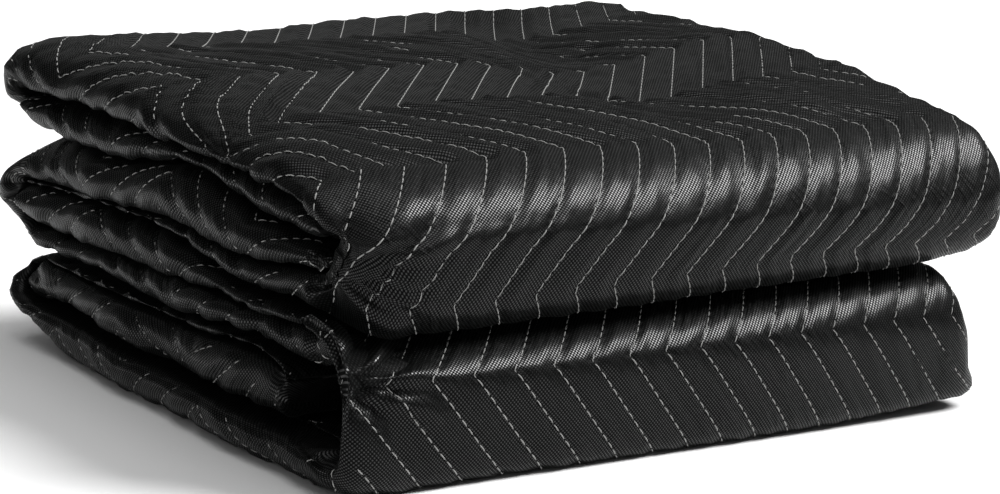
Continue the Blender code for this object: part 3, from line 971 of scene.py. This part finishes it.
def row_points(number):
    """Runs of points and outward directions along one row of stitching, where it shows."""
    runs, run = [], []
    for index, (first_point, past) in enumerate(zip(starts, starts[1:])):
        here = phase[first_point:past]
        found = None
        if here[0] < number < here[-1]:
            step = int(np.argmax(here > number)) - 1
            share = (number - here[step]) / max(here[step + 1] - here[step], 1e-9)
            a, b = first_point + step, first_point + step + 1
            if seen[a] * (1 - share) + seen[b] * share > 0.5:
                found = (world[a] * (1 - share) + world[b] * share,
                         outward[a] * (1 - share) + outward[b] * share,
                         float(route[index].zone in TIGHT_ZONES and kinds[a] == SIDE_ONE))
        if found is not None:
            run.append(found)
        elif run:
            runs.append(run)
            run = []
    return runs + [run] if run else runs


print("rows from", int(np.floor(phase.min())), "to", int(np.ceil(phase.max())))

# %% Part a row into stitches
STITCH_PITCH = 0.0061
STITCH_LENGTH = 0.0052
TIGHT_LENGTH = 0.0060
FIRST_STITCH = 0.0008
STITCH_STEPS = 3


def stitches_along(run):
    """Centre points and outward directions of the stitches of one run of a row."""
    places = np.array([item[0] for item in run])
    directions = np.array([item[1] for item in run])
    tight = np.array([item[2] for item in run])
    walked = np.concatenate([[0.0], np.cumsum(np.linalg.norm(np.diff(places, axis=0), axis=1))])
    stitches = []
    for start in np.arange(FIRST_STITCH, walked[-1] - TIGHT_LENGTH, STITCH_PITCH):
        length = TIGHT_LENGTH if np.interp(start, walked, tight) > 0.5 else STITCH_LENGTH
        at = start + length * np.linspace(0, 1, STITCH_STEPS + 1)
        centre = np.stack([np.interp(at, walked, places[:, axis]) for axis in range(3)], axis=1)
        normal = np.stack([np.interp(at, walked, directions[:, axis]) for axis in range(3)], axis=1)
        normal /= np.linalg.norm(normal, axis=1)[:, None]
        stitches.append((centre, normal))
    return stitches


stitches = []
for number in range(int(np.floor(phase.min())), int(np.ceil(phase.max())) + 1):
    for run in row_points(number):
        if len(run) > 2:
            stitches += stitches_along(run)
print(len(stitches), "stitches")

# %% Make the stitches
THREAD_RADIUS = 0.00037
THREAD_ENDS, THREAD_SWELL = 0.70, 0.30
STITCH_RISE = 0.00045
STITCH_DIP = 0.00025
STITCH_SIDES = 4


def bar(centre, normal):
    """Points of one arched bar of thread."""
    share = np.linspace(0, 1, STITCH_STEPS + 1)
    arch = STITCH_RISE * np.sin(np.pi * share) - STITCH_DIP * (1 - np.sin(np.pi * share))
    middle = centre + normal * arch[:, None]
    tangent = np.gradient(middle, axis=0)
    tangent /= np.linalg.norm(tangent, axis=1)[:, None]
    side = np.cross(tangent, normal)
    side /= np.linalg.norm(side, axis=1)[:, None]
    radius = THREAD_RADIUS * (THREAD_ENDS + THREAD_SWELL * np.sin(np.pi * share))
    angles = 2 * np.pi * np.arange(STITCH_SIDES) / STITCH_SIDES
    rounds = (side[:, None] * np.cos(angles)[None, :, None]
              + normal[:, None] * np.sin(angles)[None, :, None])
    return (middle[:, None] + rounds * radius[:, None, None]).reshape(-1, 3)


def bar_faces(first_point):
    """Faces of one bar, whose points start at a number."""
    made = []
    for step in range(STITCH_STEPS):
        for side in range(STITCH_SIDES):
            a = first_point + step * STITCH_SIDES + side
            b = first_point + step * STITCH_SIDES + (side + 1) % STITCH_SIDES
            made.append((a, b, b + STITCH_SIDES, a + STITCH_SIDES))
    last = first_point + STITCH_STEPS * STITCH_SIDES
    made.append(tuple(range(first_point, first_point + STITCH_SIDES))[::-1])
    made.append(tuple(range(last, last + STITCH_SIDES)))
    return made


thread_points = np.concatenate([bar(centre, normal) for centre, normal in stitches])
per_bar = (STITCH_STEPS + 1) * STITCH_SIDES
thread_faces = []
for number in range(len(stitches)):
    thread_faces += bar_faces(number * per_bar)
thread_mesh = bpy.data.meshes.new("stitching")
thread_mesh.from_pydata(thread_points, [], thread_faces)
thread_mesh.update()
thread_mesh.shade_smooth()
stitching = placed("stitching", thread_mesh)
print(2 * len(thread_faces), "triangles of thread")

# %% [markdown]
# ## Writing a material as sums
#
# A material is a tree of nodes, but most of it is arithmetic. One small class lets a socket
# be used in a Python expression, and each operator adds the Math node for it. Every other
# node comes from one method.

# %% Sockets as terms of a sum
class Term:
    """A socket that can be added, multiplied and so on with numbers and other sockets."""

    def __init__(self, finish, socket):
        self.finish = finish
        self.socket = socket

    def __add__(self, other):
        return self.finish.math("ADD", self, other)

    def __sub__(self, other):
        return self.finish.math("SUBTRACT", self, other)

    def __rsub__(self, other):
        return self.finish.math("SUBTRACT", other, self)

    def __mul__(self, other):
        return self.finish.math("MULTIPLY", self, other)

    def __pow__(self, other):
        return self.finish.math("POWER", self, other)

    def __neg__(self):
        return self.finish.math("MULTIPLY", self, -1.0)

    __radd__ = __add__
    __rmul__ = __mul__

    def sine(self):
        return self.finish.math("SINE", self)

    def size(self):
        return self.finish.math("ABSOLUTE", self)

    def fraction(self):
        return self.finish.math("FRACT", self)

    def at_least(self, other):
        return self.finish.math("MAXIMUM", self, other)

    def at_most(self, other):
        return self.finish.math("MINIMUM", self, other)


class Finish:
    """One material, and the single way in which its nodes are made."""

    def __init__(self, name):
        self.material = bpy.data.materials.new(name)
        self.material.use_nodes = True
        self.tree = self.material.node_tree
        self.shader = self.tree.nodes["Principled BSDF"]

    def feed(self, socket, value):
        """Links a term to a socket, or sets a plain value on it."""
        if isinstance(value, Term):
            self.tree.links.new(value.socket, socket)
        else:
            socket.default_value = value

    def node(self, kind, settings, inputs, output=0):
        """Makes a node from its type, its settings and the values or links of its sockets."""
        made = self.tree.nodes.new(kind)
        for name, value in settings.items():
            setattr(made, name, value)
        for name, value in inputs.items():
            self.feed(made.inputs[name], value)
        return Term(self, made.outputs[output])

    def math(self, operation, *values):
        """A Math node on one or two values."""
        return self.node("ShaderNodeMath", {"operation": operation}, dict(enumerate(values)))

    def coordinates(self, name):
        """The two coordinates of a map, as terms."""
        pair = self.node("ShaderNodeUVMap", {"uv_map": name}, {})
        first = self.node("ShaderNodeSeparateXYZ", {}, {0: pair})
        return first, Term(self, first.socket.node.outputs[1])

    def noise(self, x, y, detail=2.0):
        """Noise over two terms, about 0.5 in the middle."""
        place = self.node("ShaderNodeCombineXYZ", {}, {0: x, 1: y})
        return self.node("ShaderNodeTexNoise", {}, {"Vector": place, "Scale": 1.0, "Detail": detail})

    def mixed(self, share, first, second):
        """A colour between two colours."""
        inputs = {0: share, 6: first, 7: second}
        return self.node("ShaderNodeMix", {"data_type": "RGBA"}, inputs, output=2)

    def bump(self, height, distance, under=None):
        """Relief from a height of 0 to 1 that is so many metres high."""
        inputs = {"Height": height, "Distance": distance, "Strength": 1.0}
        if under is not None:
            inputs["Normal"] = under
        return self.node("ShaderNodeBump", {}, inputs)

    def surface(self, **values):
        """Sets or links the shader's sockets, named with underscores for spaces."""
        for name, value in values.items():
            self.feed(self.shader.inputs[name.replace("_", " ")], value)


named = [name for name in vars(Term) if not name.startswith("__")]
print("a term has", len(named), "named functions")

# %% [markdown]
# ## Black woven polyester
#
# Close up, the cloth is a plain weave of shiny filament. The threads that pass over the
# others make a lattice of bright dots in the light and the gaps between them are almost
# black. Two sine waves, one across and one along, give that lattice: their product is
# positive where one set of threads is on top. Under the weave lie fine wrinkles beside the
# rows, and small puckers where the stitches pull. The polish of the filament is a thin coat
# on the dots alone, over a base that is nearly black. That base colour also paints the
# gaps darker, as painted shade between the threads, and the crowns a little lighter, as
# painted highlight.

# %% Lattice of the weave
THREAD_PITCH = 0.0011
SLUBS = (260.0, 420.0)
DOT_LEAST, DOT_UNEVEN = 0.9, 0.9
woven = Finish("black_woven_polyester")
across_cloth, along_cloth = woven.coordinates("cloth")
row_phase, along_row = woven.coordinates("quilt")
turn_per_metre = math.pi / THREAD_PITCH
crowns = (across_cloth * turn_per_metre).sine() * (along_cloth * turn_per_metre).sine()
over = crowns.at_least(0.0)
beneath = (-crowns).at_least(0.0)
uneven_thread = woven.noise(across_cloth * SLUBS[0], along_cloth * SLUBS[1], 1.0)
dots = (over * (DOT_LEAST + uneven_thread * DOT_UNEVEN)).at_most(1.0)
print("threads every", round(THREAD_PITCH * 1000, 2), "mm")

# %% Wrinkles and puckers
WRINKLES = (3.0, 18.0)
CROSS_WRINKLES = (60.0, 110.0)
PATCHES = 9.0
SLANT_ACROSS = (84.0, 63.0)
SLANT_ALONG = (15.0, 20.0)
WEAVE_RELIEF = 0.00010
WRINKLE_RELIEF = 0.0018
CREASE_RELIEF = 0.0006
PUCKER_RELIEF = 0.0007
PUCKER_LENGTH = 0.0058
PUCKER_FADE, PUCKER_POWER = 4.5, 1.5
STRAY = (1.3, 40.0)
STRAY_TURN = 9.0
RIDGE_EDGE, CREASE_EDGE = 1.6, 7.0
WORN_FROM, WORN_RISE, WORN_LEAST = 0.38, 3.0, 0.12

# puckers: short waves that fade away from the row of stitching
row_gap = 0.5 - (row_phase.fraction() - 0.5).size()
near_row = (1.0 - row_gap * PUCKER_FADE).at_least(0.0) ** PUCKER_POWER
stray = woven.noise(row_phase * STRAY[0], along_row * STRAY[1])
puckers = (along_row * (2 * math.pi / PUCKER_LENGTH) + stray * STRAY_TURN).sine() * near_row

# wrinkles: long ones beside the rows, short ones across
wrinkles = woven.noise(row_phase * WRINKLES[0], along_row * WRINKLES[1], 2.0)
ridges = 1.0 - (wrinkles * 2.0 - 1.0).size() * RIDGE_EDGE
cross_wrinkles = woven.noise(across_cloth * CROSS_WRINKLES[0], along_cloth * CROSS_WRINKLES[1], 3.0)

# creases: thin lines where two sides of a slanted noise meet, in worn patches only
patches = woven.noise(across_cloth * PATCHES, along_cloth * PATCHES)
worn = ((patches - WORN_FROM) * WORN_RISE).at_least(WORN_LEAST).at_most(1.0)
slant = across_cloth * SLANT_ACROSS[0] - along_cloth * SLANT_ACROSS[1]
slanted = woven.noise(slant, across_cloth * SLANT_ALONG[0] + along_cloth * SLANT_ALONG[1], 1.0)
creases = (1.0 - (slanted * 2.0 - 1.0).size() * CREASE_EDGE).at_least(0.0) * worn

soft_relief = woven.bump((ridges * 0.6 + cross_wrinkles * 0.5) * (0.35 + worn), WRINKLE_RELIEF)
soft_relief = woven.bump(creases, CREASE_RELIEF, soft_relief)
soft_relief = woven.bump(puckers * 0.5 + 0.5, PUCKER_RELIEF, soft_relief)
relief = woven.bump(dots + beneath * 0.45, WEAVE_RELIEF, soft_relief)
print("weave stands", WEAVE_RELIEF * 1000, "mm high")

# %% Cloth finish
# Base colour of the weave: the gaps get a near-black painted shade and the crowns a lighter grey that
# is partly painted highlight; the patches vary the crowns' tone at random.
GAP_PAINTED_SHADE = (0.0006, 0.0007, 0.0007, 1.0)
CROWN_GREY_AND_HIGHLIGHT = (0.0040, 0.0045, 0.0042, 1.0)
weave_tone_and_painted_light = woven.mixed((dots * (0.55 + patches * 0.5)).at_most(1.0), GAP_PAINTED_SHADE, CROWN_GREY_AND_HIGHLIGHT)
woven.surface(
    Base_Color=weave_tone_and_painted_light,
    Roughness=0.60 - dots * 0.16,
    Normal=relief,
    Specular_IOR_Level=0.06,
    Coat_Weight=dots * 0.85,
    Coat_Roughness=0.28,
    Coat_IOR=1.5,
    Sheen_Weight=0.012,
    Sheen_Roughness=0.45,
    Sheen_Tint=(0.90, 0.96, 0.92, 1.0),
)
cloth.materials.append(woven.material)
print("the cloth's finish has", len(woven.tree.nodes), "nodes")

# %% [markdown]
# ## Pale thread
#
# The thread is off-white. A little unevenness in tone and a fine relief keep it from looking
# like plastic.

# %% Thread finish
pale = Finish("pale_thread")
place = pale.node("ShaderNodeNewGeometry", {}, {})
MOTTLE_SCALE = 900.0
MOTTLE_RELIEF = 0.0001
THREAD_SHADE = (0.17, 0.17, 0.165, 1.0)
THREAD_PALE = (0.40, 0.40, 0.39, 1.0)
mottle = pale.node("ShaderNodeTexNoise", {}, {"Vector": place, "Scale": MOTTLE_SCALE, "Detail": 2.0})
pale.surface(
    Base_Color=pale.mixed(mottle, THREAD_SHADE, THREAD_PALE),
    Roughness=0.75,
    Normal=pale.bump(mottle, MOTTLE_RELIEF),
    Specular_IOR_Level=0.3,
)
thread_mesh.materials.append(pale.material)
print("thread is", round(2000 * THREAD_RADIUS, 2), "mm thick")

# %% [markdown]
# ## Riding on the frame
#
# The cloth and its stitching stand for the plain solid, so that solid is hidden.

# %% Join the pieces to the frame
for piece in (blanket, stitching):
    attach(piece, "root")
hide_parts("blanket")
print("pieces", [blanket.name, stitching.name])

# %% [markdown]
# ## The studio
#
# The picture was taken on white with soft light. Four sun lamps with a wide spread stand for
# large soft boxes. The key, high on the right and slightly in front, draws the bright band
# along each roll. A weak fill lights the leaf edges on the left, a weaker lamp behind greys
# the top, and one overhead lightens the floor. The camera stands where the picture was taken from,
# worked out from the rows of stitching.

# %% Floor and sky
floor_mesh = bpy.data.meshes.new("floor")
FLOOR_HALF = 30.0
FLOOR_WHITE = (0.93, 0.93, 0.93, 1.0)
SKY_STRENGTH = 0.05
corners = [(x * FLOOR_HALF, y * FLOOR_HALF, 0) for x, y in ((-1, -1), (1, -1), (1, 1), (-1, 1))]
floor_mesh.from_pydata(corners, [], [(0, 1, 2, 3)])
floor = placed("floor", floor_mesh)
paper = Finish("pale_paper")
paper.surface(Base_Color=FLOOR_WHITE, Roughness=0.9, Specular_IOR_Level=0.1)
floor_mesh.materials.append(paper.material)

sky = bpy.data.worlds.new("soft_sky")
bpy.context.scene.world = sky
sky.use_nodes = True
background = sky.node_tree.nodes["Background"]
background.inputs["Color"].default_value = (1.0, 1.0, 1.0, 1.0)
background.inputs["Strength"].default_value = SKY_STRENGTH
print("floor", 2 * FLOOR_HALF, "m across")

# %% Lamps
LAMPS = (
    # name          towards the lamp         spread   strength
    ("key",         (0.58, -0.28, 0.75),     27.0,    4.1),
    ("side_fill",   (-0.80, -0.34, 0.48),    60.0,    0.34),
    ("back",        (0.30, 0.72, 0.62),      60.0,    0.17),
    ("overhead",    (-0.05, -0.10, 0.99),    60.0,    1.25),
)
for name, towards, spread, strength in LAMPS:
    lamp = bpy.data.lights.new(name, "SUN")
    lamp.angle = math.radians(spread)
    lamp.energy = strength
    placed(name, lamp).rotation_euler = Vector(towards).to_track_quat("Z", "Y").to_euler()
print(len(LAMPS), "lamps")

# %% Camera
CAMERA_FROM_CORNER = (-0.45994, -0.74789, 0.27536)
CAMERA_ANGLES = (80.4025, -3.1558, -35.8706)
SENSOR_WIDTH = 36.0
LENS = 70.574
view = bpy.data.cameras.new("view")
view.sensor_width = SENSOR_WIDTH
view.lens = LENS
camera = placed("view", view)
camera.location = (CAMERA_FROM_CORNER[0] + low.x, CAMERA_FROM_CORNER[1] + low.y, CAMERA_FROM_CORNER[2])
camera.rotation_euler = Euler([math.radians(angle) for angle in CAMERA_ANGLES])
bpy.context.scene.camera = camera
bpy.context.scene.view_settings.view_transform = "Standard"
print("camera at", [round(value, 3) for value in camera.location])
